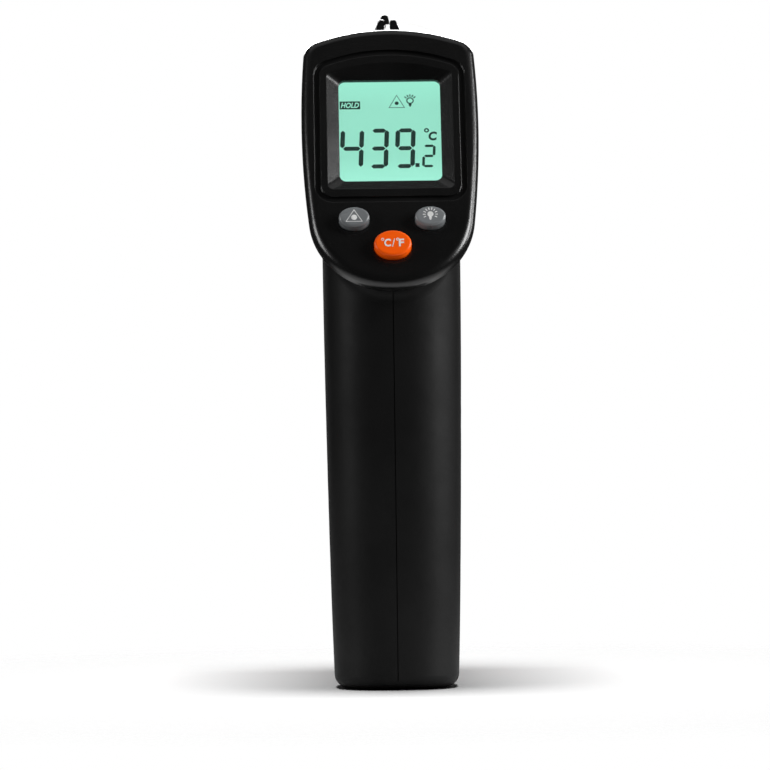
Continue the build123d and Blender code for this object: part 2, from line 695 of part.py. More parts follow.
def keypad_mat():
    """Silicone sheet with a hollow dome under each button."""
    span = (KEY_BOARD_SPAN[0], KEY_BOARD_SPAN[1] - 1.5)
    mat = slab(key_outline(span), MAT_DEPTH, MAT_DEPTH + MAT_THICK)
    rise = MAT_DEPTH - STEM_END - 0.05
    for _, x, u, _, _ in BUTTONS:
        mat += Pos(x, u, -MAT_DEPTH + rise / 2) * Cone(DOME_R, 0.65 * DOME_R, rise)
    for _, x, u, _, _ in BUTTONS:
        hollow = rise + MAT_THICK - 0.6
        middle = Pos(x, u, -MAT_DEPTH - MAT_THICK + hollow / 2)
        mat -= middle * Cone(DOME_R - 0.5, 0.65 * DOME_R - 0.5, hollow)
    return on_panel(mat)


def button(x, u, w, h):
    """An oval key cap with the flange that keeps it behind the bezel."""
    behind = BEZEL_FACE + SLIP
    cap = slab(oval(w, h), -BUTTON_PROUD, behind + FLANGE_THICK)
    cap = fillet(cap.faces().sort_by(Axis.Z)[-1].edges(), BUTTON_EDGE_R)
    cap += slab(oval(w, h, FLANGE), behind, behind + FLANGE_THICK)
    cap += slab(Circle(0.5 * DOME_R), behind, STEM_END)
    return on_panel(Pos(x, u) * cap)


# ---------------------------------------------------------------- optics
def nose_ring():
    """The nose piece with its sighting cone and laser aperture."""
    body = extrude(nose_shield(), NOSE_LENGTH)
    body = fillet(body.faces().sort_by(Axis.Z)[-1].edges(), NOSE_EDGE_R)
    inner = WALL + LIP_GAP
    body += extrude(nose_shield(inner) - nose_shield(inner + LIP_THICK), -LIP_LENGTH)
    body -= Pos(0, -SENSOR_DROP, NOSE_LENGTH / 2) * Cone(CONE_BACK_R, CONE_R, NOSE_LENGTH)
    body -= Pos(0, LASER_RISE) * extrude(Circle(APERTURE_R), NOSE_LENGTH)
    body -= Pos(0, LASER_RISE) * extrude(Circle(LASER_PANE_R + 0.05), 1.2)
    return on_nose(body)


def laser_window():
    return on_nose(Pos(0, LASER_RISE, 0.3) * extrude(Circle(LASER_PANE_R), 0.9))


def sensor_barrel():
    """The tube that holds the lens in front of the thermopile, with a locating collar."""
    front = -TUBE_START
    tube = extrude(Circle(TUBE_R), -TUBE_LENGTH)
    tube += Pos(0, 0, front - RIBS[1] + RIB_THICK + 2.4) * extrude(Circle(TUBE_R + 1.0), -1.6)
    tube -= extrude(Circle(TUBE_BORE_R), -TUBE_LENGTH)
    tube -= extrude(Circle(LENS_R + 0.05), -(RING_LENGTH + LENS_THICK))
    return on_nose(Pos(0, -SENSOR_DROP, front) * tube)


def lens_ring():
    """The retaining ring in front of the lens, with two slots for its key."""
    ring = extrude(Circle(LENS_R) - Circle(LENS_R - 1.1), -RING_LENGTH)
    ring -= extrude(Rectangle(2 * LENS_R, 1.2), -0.8)
    return on_nose(Pos(0, -SENSOR_DROP, -TUBE_START) * ring)


def ir_lens():
    """Plano-convex lens, its bowed face forward."""
    back = -TUBE_START - RING_LENGTH - LENS_THICK
    rim = LENS_R - 0.02

    def height(r):
        return LENS_THICK - LENS_BOW_R + math.sqrt(LENS_BOW_R**2 - r**2)

    bow = ThreePointArc((rim, height(rim)), (rim / 2, height(rim / 2)), (0, LENS_THICK))
    rest = Polyline((0, LENS_THICK), (0, 0), (rim, 0), (rim, height(rim)))
    lens = revolve(Plane.XZ * make_face([bow, rest]), Axis.Z)
    return on_nose(Pos(0, -SENSOR_DROP, back) * lens)


def thermopile_can():
    base = -TUBE_START - TUBE_LENGTH
    can = extrude(Circle(CAN_R), CAN_LENGTH) + extrude(Circle(CAN_R + 0.5), 0.5)
    can -= Pos(0, 0, CAN_LENGTH - 0.3) * extrude(Circle(1.6), 0.3)
    return on_nose(Pos(0, -SENSOR_DROP, base) * can)


def sensor_board():
    base = -TUBE_START - TUBE_LENGTH
    disc = extrude(Circle(TUBE_R - 0.2), -1.2)
    disc += Pos(0, -3.2, -1.2) * extrude(Rectangle(7, 3), -2.4)
    return on_nose(Pos(0, -SENSOR_DROP, base) * disc)


def laser_module():
    body = extrude(Circle(LASER_R), -LASER_LENGTH)
    body -= extrude(Circle(1.3), -0.8)
    return on_nose(Pos(0, LASER_RISE, -LASER_START) * body)


def laser_board():
    return on_nose(Pos(0, LASER_RISE, -LASER_START - LASER_LENGTH) * extrude(Rectangle(5, 5), -1.0))


# ---------------------------------------------------------------- trigger
def trigger():
    """The finger trigger: concave front, hub on the pivot pin, hollow back, stop tail."""
    z = GRIP_HEIGHT
    low = z - 8.4
    front = ThreePointArc((40.0, z + 19.4), (29.6, z + 6.0), (29.6, low))
    back = Polyline(
        (29.6, low), (13.0, low), (13.0, z + 3.0), (25.5, z + 10.0), (28.0, z + 19.0), (40.0, z + 19.4),
    )
    half = TRIGGER_HALF
    body = side_plane(-half) * extrude(make_face([front, back]), 2 * half)
    body = fillet(body.edges().filter_by(GeomType.CIRCLE), 1.8)
    body += rod_x(PIVOT_Y, PIVOT_Z, HUB_R, -half, half)
    inner = half - 1.6
    body -= block((-inner, inner), (0, 21.0), (low + 1.6, z + 12.0))
    nub = block((-1.5, 1.5), (12.4, 22.0), (z + 7.0, z + 10.0))
    body += nub - block((-inner, inner), (0, 12.4), ALL)
    body -= rod_x(PIVOT_Y, PIVOT_Z, PIVOT_R + PIN_RUN, -half, half)
    tail = block((-4.0, 4.0), (12.6, 14.6), (low - 3.0, low + 1.0))
    return body + tail


def trigger_pin():
    half = TRIGGER_HALF + RUN + 1.4
    return rod_x(PIVOT_Y, PIVOT_Z, PIVOT_R, -half, half)


def coil(radius, wire_r, length, turns):
    """A coil spring along +Z from z = 0."""
    path = Helix(length / turns, length, radius)
    return sweep(Plane(origin=path @ 0, z_dir=path % 0) * Circle(wire_r), path, is_frenet=True)


def trigger_spring():
    back = BULKHEAD_Y + BULKHEAD_THICK
    free = 21.0 - back - 0.1
    spring = Pos(0, 0, SPRING_WIRE_R) * coil(SPRING_R, SPRING_WIRE_R, free - 2 * SPRING_WIRE_R, 7)
    return Plane(origin=(0, back + 0.05, SPRING_Z), z_dir=(0, 1, 0)) * spring


SWITCH_Z = GRIP_HEIGHT + 8.5


def trigger_board():
    back = BULKHEAD_Y + BULKHEAD_THICK
    return block((-4.3, 4.3), (back, back + 1.0), (SWITCH_Z - 4.0, SWITCH_Z + 4.3))


def trigger_switch():
    back = BULKHEAD_Y + BULKHEAD_THICK + 1.0
    body = block((-3, 3), (back, back + 3.5), (SWITCH_Z - 3, SWITCH_Z + 3))
    cap = Plane(origin=(0, back + 3.5, SWITCH_Z), z_dir=(0, 1, 0)) * extrude(Circle(1.7), 1.0)
    return body + cap


# ---------------------------------------------------------------- battery group
def battery_door():
    """The front of the lower grip: one wall thick, hinged on its barrel, ridged for the fingers."""
    skin = door_region(DOOR_GAP) & grip_body()
    shell = skin - (grip_body(DOOR_WALL) - block(ALL, ALL, (-BIG, 0)))
    shell += rod_x(HINGE_Y, HINGE_Z, HINGE_SET - 0.1, -HINGE_HALF, HINGE_HALF) & grip_body()
    for i in range(4):
        z = DOOR_TOP - 8.0 - 2.2 * i
        ridge = block(ALL, (DOOR_SPLIT + 3.0, 15.5), (z, z + 1.0))
        shell += ridge & (grip_body(-0.35) - grip_body(0.5)) - block((-11, 11), ALL, ALL)
    shell -= rod_x(HINGE_Y, HINGE_Z, HINGE_PIN_R + PIN_RUN, -HINGE_HALF - 1, HINGE_HALF + 1)
    relief_r = math.sqrt(2) * HINGE_SET
    inner, outer = HINGE_HALF + RUN - DOOR_GAP, HINGE_HALF + 2 * RUN + EAR_THICK
    for x0, x1 in ((-outer, -inner), (inner, outer)):
        shell -= rod_x(HINGE_Y, HINGE_Z, relief_r, x0, x1)
    return max(shell.solids(), key=lambda s: s.volume)


def door_hinge_pin():
    half = HINGE_HALF + RUN + 1.9
    return rod_x(HINGE_Y, HINGE_Z, HINGE_PIN_R, -half, half)


def battery(side):
    """A cell with its nub up on the left (-1) and down on the right (+1)."""
    body = Cylinder(CELL_R, CELL_LENGTH - NUB_HEIGHT, align=(Align.CENTER, Align.CENTER, Align.MIN))
    body = fillet(body.edges(), 0.5)
    nub = Pos(0, 0, CELL_LENGTH - NUB_HEIGHT) * extrude(Circle(NUB_R), NUB_HEIGHT)
    body += fillet(nub.faces().sort_by(Axis.Z)[-1].edges(), 0.3)
    if side < 0:
        return Pos(-CELL_X, CELL_Y, BAY_FLOOR + CONTACT_THICK + SPRING_ROOM) * body
    return Pos(CELL_X, CELL_Y, BAY_FLOOR + CONTACT_THICK + CELL_LENGTH) * Rot(180, 0, 0) * body


def contact_plate(side):
    """A sprung sheet contact under the bay's ceiling, its tab through the back wall."""
    x = side * CELL_X
    z = (BAY_TOP - CONTACT_THICK, BAY_TOP)
    plate = block((x - 3.8, x + 3.8), (BAY_BACK + SLIP, CELL_Y + 4.0), z)
    return plate + block((x - 1.5, x + 1.5), (BAY_BACK - BAY_WALL - 1.2, BAY_BACK + 1.0), z)


def contact_link():
    half = CELL_X + 3.8
    z = (BAY_FLOOR, BAY_FLOOR + CONTACT_THICK)
    return block((-half, half), (BAY_BACK + SLIP, CELL_Y + 4.0), z)


def contact_springs():
    """The two springs that press on the cells' flat ends."""
    wire_r = 0.3
    spring = Pos(0, 0, wire_r) * coil(3.0, wire_r, SPRING_ROOM - 0.1 - 2 * wire_r, 3.5)
    low = Pos(-CELL_X, CELL_Y, BAY_FLOOR + CONTACT_THICK + 0.05) * spring
    high = Pos(CELL_X, CELL_Y, BAY_TOP - CONTACT_THICK - 0.05) * Rot(180, 0, 0) * spring
    return Compound(children=[low, high])


# ---------------------------------------------------------------- wires
def wire(points, radius=WIRE_R):
    """A round lead along a smooth line through the points."""
    path = Spline(*points)
    return sweep(Plane(origin=path @ 0, z_dir=path % 0) * Circle(radius), path)


def battery_wire(side):
    x = side * CELL_X
    top = BAY_TOP - CONTACT_THICK / 2 + 0.9
    start = (x, BAY_BACK - BAY_WALL - 0.7, top)
    end = panel_point(side * 5.0, BOARD_SPAN[0] + 2.0, BOARD_DEPTH + BOARD_THICK + WIRE_R + 0.1)
    return wire([start, (x, -2.2, top + 8), (side * 5.0, -2.6, GRIP_HEIGHT - 2), tuple(end)])


def sensor_wires():
    """Three leads side by side from the sensor's socket to the main board."""
    leads = []
    for x in (-1.6, 0.0, 1.6):
        start = nose_point(x, -SENSOR_DROP - 3.2, -TUBE_START - TUBE_LENGTH - 3.7)
        end = panel_point(x, -4.5, BOARD_DEPTH + BOARD_THICK + 0.6)
        bend = Vector(x, 22.0, GRIP_HEIGHT + 33.0)
        leads.append(wire([tuple(start), tuple(bend), tuple(end)], 0.5))
    return Compound(children=leads)


def laser_wires():
    leads = []
    for x in (-1.2, 1.2):
        start = nose_point(x, LASER_RISE, -LASER_START - LASER_LENGTH - 1.5)
        end = panel_point(x, 13.0, BOARD_DEPTH + BOARD_THICK + 0.6)
        middle = (x, 28.0, GRIP_HEIGHT + 47.5)
        leads.append(wire([tuple(start), middle, tuple(end)], 0.5))
    return Compound(children=leads)


def switch_wires():
    leads = []
    front = BULKHEAD_Y + BULKHEAD_THICK
    for x in (-1.6, 1.6):
        start = (x, front + 0.6, SWITCH_Z + 4.6)
        end = panel_point(x, BOARD_SPAN[0] + 4.0, BOARD_DEPTH + BOARD_THICK + 0.6)
        over = (x, BULKHEAD_Y + 0.8, GRIP_HEIGHT + 18.6)
        leads.append(wire([start, (x, front + 1.0, GRIP_HEIGHT + 16.5), over, tuple(end)], 0.5))
    return Compound(children=leads)


def case_screws():
    """The screws that draw the halves together, heads on the right."""
    screws = []
    for y, z in SCREW_PLACES:
        one = rod_x(y, z, SCREW_HEAD_R, SCREW_SEAT, SCREW_SEAT + SCREW_HEAD_H)
        one += rod_x(y, z, SCREW_R, SCREW_SEAT - SCREW_LENGTH, SCREW_SEAT)
        slot = Rectangle(2.4, 0.5) + Rectangle(0.5, 2.4)
        one -= side_plane(SCREW_SEAT + SCREW_HEAD_H - 0.7) * Pos(y, z) * extrude(slot, 1)
        screws.append(one)
    return Compound(children=screws)


def main():
    half = housing()
    pieces = {
        "left_shell": housing_half(half, -1),
        "right_shell": housing_half(half, 1),
        "display_bezel": display_bezel(),
        "display_window": display_window(),
        "lcd_glass": lcd_glass(),
        "lcd_backlight": lcd_backlight(),
        "lcd_contact": lcd_contact(),
        "lcd_holder": lcd_holder(),
        "main_board": main_board(),
        "board_components": board_components(),
        "board_screws": board_screws(),
        "board_header": board_header(),
        "key_board": key_board(),
        "keypad_mat": keypad_mat(),
        "nose_ring": nose_ring(),
        "laser_window": laser_window(),
        "sensor_barrel": sensor_barrel(),
        "lens_ring": lens_ring(),
        "ir_lens": ir_lens(),
        "thermopile_can": thermopile_can(),
        "sensor_board": sensor_board(),
        "laser_module": laser_module(),
        "laser_board": laser_board(),
        "trigger": trigger(),
        "trigger_pin": trigger_pin(),
        "trigger_spring": trigger_spring(),
        "trigger_board": trigger_board(),
        "trigger_switch": trigger_switch(),
        "battery_door": battery_door(),
        "door_hinge_pin": door_hinge_pin(),
        "battery_left": battery(-1),
        "battery_right": battery(1),
        "contact_positive": contact_plate(-1),
        "contact_negative": contact_plate(1),
        "contact_link": contact_link(),
        "contact_springs": contact_springs(),
        "battery_wire_red": battery_wire(-1),
        "battery_wire_black": battery_wire(1),
        "sensor_wires": sensor_wires(),
        "laser_wires": laser_wires(),
        "switch_wires": switch_wires(),
        "case_screws": case_screws(),
    }
    for name, x, u, w, h in BUTTONS:
        pieces[name] = button(x, u, w, h)
    os.makedirs("parts", exist_ok=True)
    for name, shape in pieces.items():
        export_step(shape, f"parts/{name}.step")


main()
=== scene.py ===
# %% [markdown]
# Infrared thermometer: looks
# The working model already holds every moulded piece, so this lesson gives each piece its finish
# and adds what ink, light and glass make: the lit display with its figures, and the printed keys.
# All lengths are metres in the model's own frame: +Z up, +Y the way the lens looks.

# %% Load the working model
import json
import math

import bmesh
import bpy
from mathutils import Matrix, Vector


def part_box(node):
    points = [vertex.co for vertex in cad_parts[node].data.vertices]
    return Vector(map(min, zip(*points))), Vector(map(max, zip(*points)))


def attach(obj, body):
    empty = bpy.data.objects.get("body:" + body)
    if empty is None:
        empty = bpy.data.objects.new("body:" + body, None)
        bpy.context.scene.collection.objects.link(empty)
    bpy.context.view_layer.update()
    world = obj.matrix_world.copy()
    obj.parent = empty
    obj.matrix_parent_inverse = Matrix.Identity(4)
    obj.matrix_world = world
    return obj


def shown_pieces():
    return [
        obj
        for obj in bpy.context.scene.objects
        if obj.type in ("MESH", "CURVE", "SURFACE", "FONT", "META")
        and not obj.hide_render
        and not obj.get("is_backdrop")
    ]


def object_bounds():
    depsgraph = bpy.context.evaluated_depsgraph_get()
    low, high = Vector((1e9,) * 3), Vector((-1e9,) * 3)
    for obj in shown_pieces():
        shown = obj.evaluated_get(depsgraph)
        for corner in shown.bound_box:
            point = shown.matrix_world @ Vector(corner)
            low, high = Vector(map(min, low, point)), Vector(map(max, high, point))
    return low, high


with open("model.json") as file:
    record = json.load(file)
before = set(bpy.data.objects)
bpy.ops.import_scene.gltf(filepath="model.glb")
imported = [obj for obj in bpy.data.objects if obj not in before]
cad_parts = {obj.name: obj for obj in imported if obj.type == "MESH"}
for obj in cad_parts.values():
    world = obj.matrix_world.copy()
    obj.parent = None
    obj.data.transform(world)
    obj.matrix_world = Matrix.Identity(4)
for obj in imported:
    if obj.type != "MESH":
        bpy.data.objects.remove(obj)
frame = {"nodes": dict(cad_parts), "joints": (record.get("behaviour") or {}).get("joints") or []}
cad_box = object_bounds()
MM = 0.001
print("pieces in the working model:", len(frame["nodes"]))

# %% [markdown]
# Where things go
# The display leans back. A flat print needs the plane it lies on: a centre, the way across, the way
# up and the way out. The keys slide straight into the panel, so their joint axis is the way in.
# Reading it from the joints keeps the prints on the panel if its tilt ever changes.

# %% The display panel's directions
key_joint = next(j for j in frame["joints"] if j["name"] == "laser_press")
OUT = -Vector(key_joint["axis"]).normalized()
ACROSS = Vector((1.0, 0.0, 0.0))
UP = OUT.cross(ACROSS)
RIM_BAND = 0.05 * MM  # points this close to the outermost one belong to the face


def outer_plane(node):
    """The matrix of the plane on a node's outermost face: x across, y up the panel, z out."""
    points = [v.co for v in frame["nodes"][node].data.vertices]
    reach = max(p.dot(OUT) for p in points)
    rim = [p for p in points if p.dot(OUT) > reach - RIM_BAND]
    across = [p.dot(ACROSS) for p in rim]
    up = [p.dot(UP) for p in rim]
    centre = ACROSS * (min(across) + max(across)) / 2 + UP * (min(up) + max(up)) / 2 + OUT * reach
    turn = Matrix((ACROSS, UP, OUT)).transposed().to_4x4()
    return Matrix.Translation(centre) @ turn


print("display leans back by", round(math.degrees(math.asin(OUT.z)), 1), "degrees")

# %% [markdown]
# Small tools for new pieces
# A print is a thin raised film. Three kinds of shape make all of them: a flat outline that is
# extruded, a line of ink that follows points, and lettering. Each helper adds its shape to one
# bmesh, so a whole icon ends up as one piece.

# %% Outlines, ink lines and lettering
def add_outline(bm, points, thick):
    """A closed flat outline in the XY plane, extruded up by thick."""
    face = bm.faces.new([bm.verts.new((x, y, 0.0)) for x, y in points])
    face.normal_update()
    if face.normal.z < 0:
        face.normal_flip()
    grown = bmesh.ops.extrude_face_region(bm, geom=[face], use_keep_orig=True)
    top = [g for g in grown["geom"] if isinstance(g, bmesh.types.BMVert)]
    bmesh.ops.translate(bm, verts=top, vec=(0, 0, thick))
    bmesh.ops.recalc_face_normals(bm, faces=bm.faces)


def add_object_mesh(bm, obj, matrix):
    """Adds an object's finished mesh to bm and removes the object."""
    bpy.context.scene.collection.objects.link(obj)
    depsgraph = bpy.context.evaluated_depsgraph_get()
    mesh = bpy.data.meshes.new_from_object(obj.evaluated_get(depsgraph))
    mesh.transform(matrix)
    bm.from_mesh(mesh)
    data = obj.data
    bpy.data.objects.remove(obj)
    bpy.data.meshes.remove(mesh)
    bpy.data.curves.remove(data)


def add_line(bm, points, width, thick, closed=False):
    """A line of ink with round edges along points in the XY plane."""
    curve = bpy.data.curves.new("ink_line", "CURVE")
    curve.dimensions = "3D"
    curve.bevel_depth = width / 2
    curve.bevel_resolution = 2
    curve.use_fill_caps = True
    spline = curve.splines.new("POLY")
    spline.points.add(len(points) - 1)
    for point, (x, y) in zip(spline.points, points):
        point.co = (x, y, 0.0, 1.0)
    spline.use_cyclic_u = closed
    flat = Matrix.Diagonal((1.0, 1.0, thick / width, 1.0))
    add_object_mesh(bm, bpy.data.objects.new("ink_line", curve), flat)


def add_text(bm, words, middle, size, thick, weight=0.0, lean=0.0):
    """Lettering that fills a box of the given middle and size, drawn thicker by weight."""
    text = bpy.data.curves.new("lettering", "FONT")
    text.body = words
    text.size = 1.0
    text.offset = weight
    text.shear = lean
    text.extrude = 0.5
    text.resolution_u = 4
    letters = bmesh.new()
    add_object_mesh(letters, bpy.data.objects.new("lettering", text), Matrix.Identity(4))
    low = Vector([min(v.co[i] for v in letters.verts) for i in range(3)])
    high = Vector([max(v.co[i] for v in letters.verts) for i in range(3)])
    span = high - low
    fit = Matrix.Diagonal((size[0] / span.x, size[1] / span.y, thick / span.z, 1.0))
    bmesh.ops.transform(letters, matrix=fit @ Matrix.Translation(-(low + high) / 2), verts=letters.verts)
    bmesh.ops.translate(letters, verts=letters.verts, vec=(*middle, thick / 2))
    drawn = bpy.data.meshes.new("lettering")
    letters.to_mesh(drawn)
    letters.free()
    bm.from_mesh(drawn)
    bpy.data.meshes.remove(drawn)


def ring_points(centre, radius, count=24):
    """Points round a circle."""
    turns = [2 * math.pi * i / count for i in range(count)]
    return [(centre[0] + radius * math.cos(t), centre[1] + radius * math.sin(t)) for t in turns]


def finish_piece(name, bm, plane, body, material):
    """Moves a drawn shape onto its plane, and makes it a piece that rides on a body."""
    bmesh.ops.transform(bm, matrix=plane, verts=bm.verts)
    mesh = bpy.data.meshes.new(name)
    bm.to_mesh(mesh)
    bm.free()
    piece = bpy.data.objects.new(name, mesh)
    bpy.context.scene.collection.objects.link(piece)
    mesh.materials.append(material)
    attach(piece, body)
    print(name, "faces:", len(mesh.polygons))


# %% [markdown]
# Effects that several finishes share
# Moulded plastic is not smooth: the steel mould is spark-eroded, which leaves a fine even grain,
# with a few grains given a painted glint: a paler base colour that stands in for the light they
# catch. A hand polishes it in patches, and dust settles on what faces up. Each of these is a node
# group, so one set of nodes serves every plastic, and each material sets its own amount.

# %% A tool that builds a node group
def effect_group(name, inputs, outputs):
    """An empty node group with named float or vector sockets."""
    group = bpy.data.node_groups.new(name, "ShaderNodeTree")
    for label, kind, value in inputs:
        socket = group.interface.new_socket(label, in_out="INPUT", socket_type=kind)
        if value is not None:
            socket.default_value = value
    for label in outputs:
        group.interface.new_socket(label, in_out="OUTPUT", socket_type="NodeSocketFloat")
    source = group.nodes.new("NodeGroupInput")
    target = group.nodes.new("NodeGroupOutput")
    return group, source, target


def add_node(tree, kind, settings=None, **values):
    """A node with its properties and the default values of its inputs set by name."""
    node = tree.nodes.new(kind)
    for key, value in (settings or {}).items():
        setattr(node, key, value)
    for key, value in values.items():
        node.inputs[key.replace("_", " ")].default_value = value
    return node


def ramp(tree, value, low, high):
    """Rescales a value so that low becomes 0 and high becomes 1, clamped."""
    node = add_node(tree, "ShaderNodeMapRange", From_Min=low, From_Max=high)
    tree.links.new(value, node.inputs["Value"])
    return node.outputs["Result"]


def maths(tree, operation, first, second):
    """One arithmetic step; either side may be a socket or a number."""
    node = tree.nodes.new("ShaderNodeMath")
    node.operation = operation
    for socket, value in zip(node.inputs, (first, second)):
        if isinstance(value, (int, float)):
            socket.default_value = value
        else:
            tree.links.new(value, socket)
    return node.outputs[0]


# %% Spark-eroded grain and painted glints
VECTOR, FLOAT = "NodeSocketVector", "NodeSocketFloat"
GRAIN_AND_GLINT, grain_in, grain_and_glint_out = effect_group(
    "spark_grain_and_painted_glint", [("Vector", VECTOR, None), ("Grains per metre", FLOAT, 3500.0)], ["Height", "Painted glint"]
)
fine = add_node(GRAIN_AND_GLINT, "ShaderNodeTexNoise", Detail=3.0, Roughness=0.6)
cells = add_node(GRAIN_AND_GLINT, "ShaderNodeTexVoronoi")
GRAIN_AND_GLINT.links.new(grain_in.outputs["Vector"], fine.inputs["Vector"])
GRAIN_AND_GLINT.links.new(grain_in.outputs["Vector"], cells.inputs["Vector"])
GRAIN_AND_GLINT.links.new(grain_in.outputs["Grains per metre"], fine.inputs["Scale"])
GRAIN_AND_GLINT.links.new(maths(GRAIN_AND_GLINT, "MULTIPLY", grain_in.outputs["Grains per metre"], 0.45), cells.inputs["Scale"])
pits = maths(GRAIN_AND_GLINT, "MULTIPLY", cells.outputs["Distance"], 0.5)
GRAIN_AND_GLINT.links.new(maths(GRAIN_AND_GLINT, "ADD", fine.outputs["Fac"], pits), grain_and_glint_out.inputs["Height"])
# Painted glint: a few chosen cells, near their centres, give a mask that lifts the base colour and stands in
# for grains catching the light.
chosen = ramp(GRAIN_AND_GLINT, cells.outputs["Color"], 0.93, 0.97)
near_centre = ramp(GRAIN_AND_GLINT, cells.outputs["Distance"], 0.24, 0.12)
GRAIN_AND_GLINT.links.new(maths(GRAIN_AND_GLINT, "MULTIPLY", chosen, near_centre), grain_and_glint_out.inputs["Painted glint"])
print("grain nodes:", len(GRAIN_AND_GLINT.nodes))

# %% Hand polish
POLISH, polish_in, polish_out = effect_group(
    "hand_polish", [("Vector", VECTOR, None), ("Patches per metre", FLOAT, 45.0)], ["Polish"]
)
patches = add_node(POLISH, "ShaderNodeTexNoise", Detail=4.0, Roughness=0.55)
POLISH.links.new(polish_in.outputs["Vector"], patches.inputs["Vector"])
POLISH.links.new(polish_in.outputs["Patches per metre"], patches.inputs["Scale"])
POLISH.links.new(ramp(POLISH, patches.outputs["Fac"], 0.35, 0.68), polish_out.inputs["Polish"])

# %% Settled dust
DUST, dust_in, dust_out = effect_group(
    "settled_dust", [("Vector", VECTOR, None), ("Amount", FLOAT, 0.3)], ["Dust"]
)
facing = DUST.nodes.new("ShaderNodeNewGeometry")
parts = DUST.nodes.new("ShaderNodeSeparateXYZ")
flecks = add_node(DUST, "ShaderNodeTexNoise", Scale=1400.0, Detail=2.0)
DUST.links.new(facing.outputs["Normal"], parts.inputs["Vector"])
DUST.links.new(dust_in.outputs["Vector"], flecks.inputs["Vector"])
upward = ramp(DUST, parts.outputs["Z"], 0.35, 1.0)
scatter = ramp(DUST, flecks.outputs["Fac"], 0.52, 0.72)
settled = maths(DUST, "MULTIPLY", upward, scatter)
DUST.links.new(maths(DUST, "MULTIPLY", settled, dust_in.outputs["Amount"]), dust_out.inputs["Dust"])

# %% Drawn or turned metal
STREAK, streak_in, streak_out = effect_group(
    "tool_marks", [("Vector", VECTOR, None), ("Marks per metre", FLOAT, 900.0)], ["Height", "Shade"]
)
stretch = add_node(STREAK, "ShaderNodeMapping", Scale=(0.08, 1.0, 1.0))
marks = add_node(STREAK, "ShaderNodeTexNoise", Detail=4.0, Roughness=0.7)
STREAK.links.new(streak_in.outputs["Vector"], stretch.inputs["Vector"])
STREAK.links.new(stretch.outputs["Vector"], marks.inputs["Vector"])
STREAK.links.new(streak_in.outputs["Marks per metre"], marks.inputs["Scale"])
STREAK.links.new(marks.outputs["Fac"], streak_out.inputs["Height"])
STREAK.links.new(ramp(STREAK, marks.outputs["Fac"], 0.3, 0.7), streak_out.inputs["Shade"])


# %% [markdown]
# Finishes
# A finish is one material. The helper starts it with the surface's own coordinates, because the
# pattern then stays on the piece when it moves. Colours that vary go through a mix; numbers that
# are the same everywhere are set on the shader itself.

# %% Starting a material, and placing an effect in it
def start_material(name):
    """A node material, its shader and the coordinates that its patterns read."""
    material = bpy.data.materials.new(name)
    material.use_nodes = True
    tree = material.node_tree
    shader = tree.nodes["Principled BSDF"]
    where = tree.nodes.new("ShaderNodeTexCoord").outputs["Object"]
    return material, tree, shader, where


def effect(tree, group, where, **values):
    """A node group placed in a material, with its own values."""
    node = tree.nodes.new("ShaderNodeGroup")
    node.node_tree = group
    tree.links.new(where, node.inputs["Vector"])
    for key, value in values.items():
        node.inputs[key.replace("_", " ")].default_value = value
    return node


def blend_colours(tree, factor, low, high):
    """A colour that goes from low to high with factor; each may be a colour or a socket."""
    node = tree.nodes.new("ShaderNodeMix")
    node.data_type = "RGBA"
    tree.links.new(factor, node.inputs["Factor"])
    for socket, value in ((node.inputs[6], low), (node.inputs[7], high)):
        if isinstance(value, tuple):
            socket.default_value = (*value, 1.0)
        else:
            tree.links.new(value, socket)
    return node.outputs[2]


def bump(tree, shader, height, depth, edge=0.0):
    """Raises the surface's shading by height, depth metres deep, and softens edges by edge."""
    node = add_node(tree, "ShaderNodeBump", Strength=1.0, Distance=depth)
    tree.links.new(height, node.inputs["Height"])
    if edge > 0:
        soft = add_node(tree, "ShaderNodeBevel", {"samples": 6}, Radius=edge)
        tree.links.new(soft.outputs["Normal"], node.inputs["Normal"])
    tree.links.new(node.outputs["Normal"], shader.inputs["Normal"])


def moulded_plastic(name, colour, rough, grains, depth, painted_glint=0.0, dust=0.0, gloss=0.5, edge=0.0):
    """Injection-moulded plastic: grain, hand polish, painted glints and a little dust."""
    material, tree, shader, where = start_material(name)
    shader.inputs["Specular IOR Level"].default_value = gloss
    grain_and_glint = effect(tree, GRAIN_AND_GLINT, where, Grains_per_metre=grains)
    polish = effect(tree, POLISH, where)
    dusty = effect(tree, DUST, where, Amount=dust)
    pale = tuple(min(1.0, c * 1.35 + 0.004) for c in colour)
    toned = blend_colours(tree, polish.outputs["Polish"], colour, pale)
    # Painted glint: the chosen grains get a paler base colour, which stands in for the light they catch.
    painted_glint_colour = tuple(min(1.0, c + painted_glint) for c in colour)
    with_painted_glints = blend_colours(tree, grain_and_glint.outputs["Painted glint"], toned, painted_glint_colour)
    tree.links.new(
        blend_colours(tree, dusty.outputs["Dust"], with_painted_glints, (0.42, 0.41, 0.39)), shader.inputs["Base Color"]
    )
    wear = add_node(tree, "ShaderNodeMapRange", To_Min=rough[1], To_Max=rough[0])
    tree.links.new(polish.outputs["Polish"], wear.inputs["Value"])
    tree.links.new(wear.outputs["Result"], shader.inputs["Roughness"])
    bump(tree, shader, grain_and_glint.outputs["Height"], depth, edge)
    return material


def metal(name, colour, rough, marks=900.0, depth=0.00001):
    """Drawn, turned or plated metal with fine tool marks."""
    material, tree, shader, where = start_material(name)
    tool = effect(tree, STREAK, where, Marks_per_metre=marks)
    dark = tuple(c * 0.7 for c in colour)
    tree.links.new(blend_colours(tree, tool.outputs["Shade"], dark, colour), shader.inputs["Base Color"])
    shader.inputs["Metallic"].default_value = 1.0
    spread = add_node(tree, "ShaderNodeMapRange", To_Min=rough * 0.7, To_Max=rough * 1.3)
    tree.links.new(tool.outputs["Shade"], spread.inputs["Value"])
    tree.links.new(spread.outputs["Result"], shader.inputs["Roughness"])
    bump(tree, shader, tool.outputs["Height"], depth)
    return material


